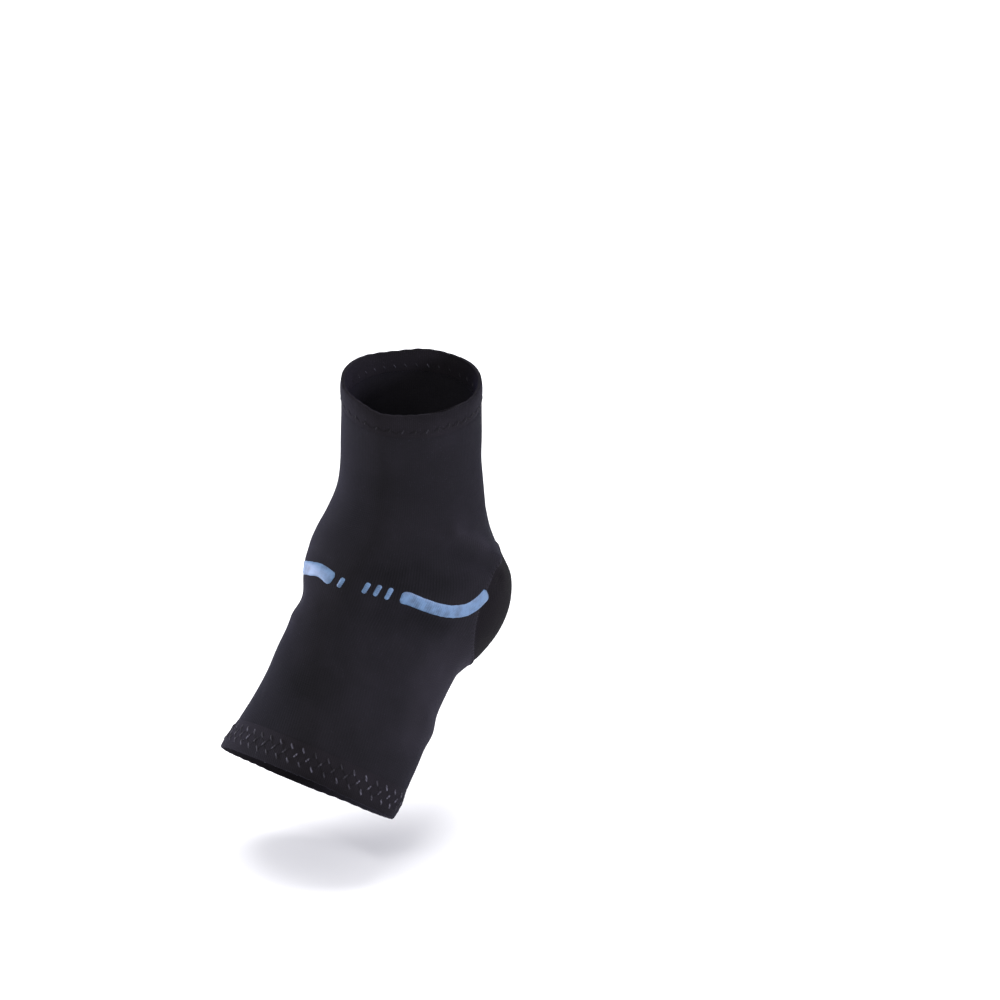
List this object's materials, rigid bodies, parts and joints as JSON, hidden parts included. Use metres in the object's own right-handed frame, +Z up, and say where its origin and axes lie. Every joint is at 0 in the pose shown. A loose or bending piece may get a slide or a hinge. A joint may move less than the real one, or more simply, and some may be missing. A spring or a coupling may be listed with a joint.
{
  "type": "ankle support",
  "caption": "Black stretch ankle support for a left foot, a closed-heel sleeve with a round heel panel, stitched hems and light-blue printed bands, in its worn form.",
  "frame": {"origin": "the middle of the ankle, between the ankle bones, where the leg and the foot of the wearer meet", "axes": "+Z up along the lower leg, -Y forwards to the toes, +X to the outer side of the left foot; the foot points down and forwards, as with a lifted heel"},
  "size_m": [0.091, 0.1478, 0.1947],
  "materials": {
    "stretch_fabric": "smooth black knit face on a thin foam, with a faint sheen at grazing angles",
    "hem_fabric": "the same black knit, turned over and stitched through",
    "blue_print": "thin satin light-blue print on the knit"
  },
  "bodies": {
    "root": {"sleeve": "stretch_fabric", "heel_panel": "stretch_fabric", "leg_hem": "hem_fabric", "foot_hem": "hem_fabric", "lateral_band": "blue_print", "medial_band": "blue_print", "lateral_dash_1": "blue_print", "lateral_dash_2": "blue_print", "lateral_dash_3": "blue_print", "medial_dash_1": "blue_print"}
  },
  "joints": []
}
